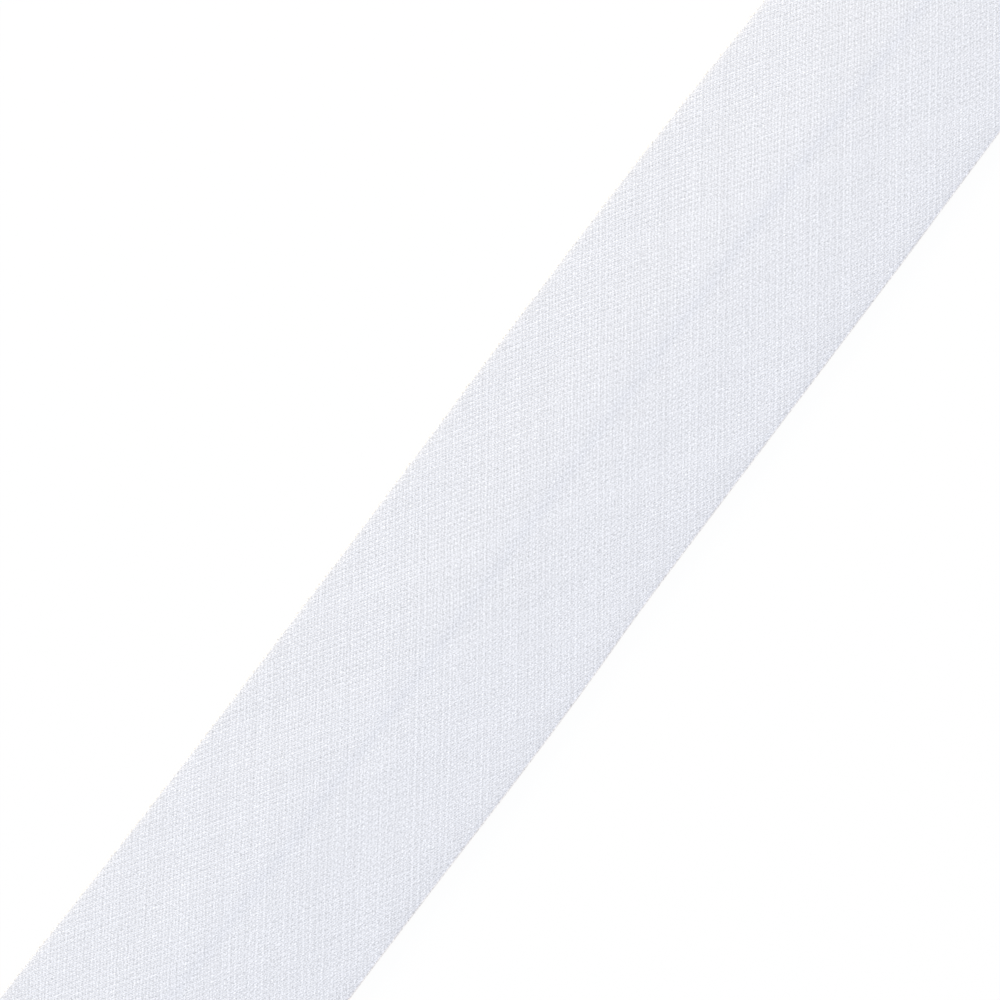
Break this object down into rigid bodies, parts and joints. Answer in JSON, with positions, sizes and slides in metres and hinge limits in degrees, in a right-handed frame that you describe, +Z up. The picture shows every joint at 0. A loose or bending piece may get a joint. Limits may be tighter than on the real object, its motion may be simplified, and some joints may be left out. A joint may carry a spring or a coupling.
{
  "type": "cut length of bias tape",
  "caption": "Flat cut length of white woven single-fold bias tape, with both long edges turned under so that their raw edges nearly meet beneath the face.",
  "frame": {"origin": "under the middle of the strip, at the centre of its underside", "axes": "+X along the tape, +Y across it towards the far fold, +Z up out of the face"},
  "size_m": [0.16, 0.0254, 0.0027],
  "materials": {
    "tape_cloth": "matte plain-woven cotton, cool white"
  },
  "bodies": {
    "root": {"bias_tape": "tape_cloth"}
  },
  "joints": []
}
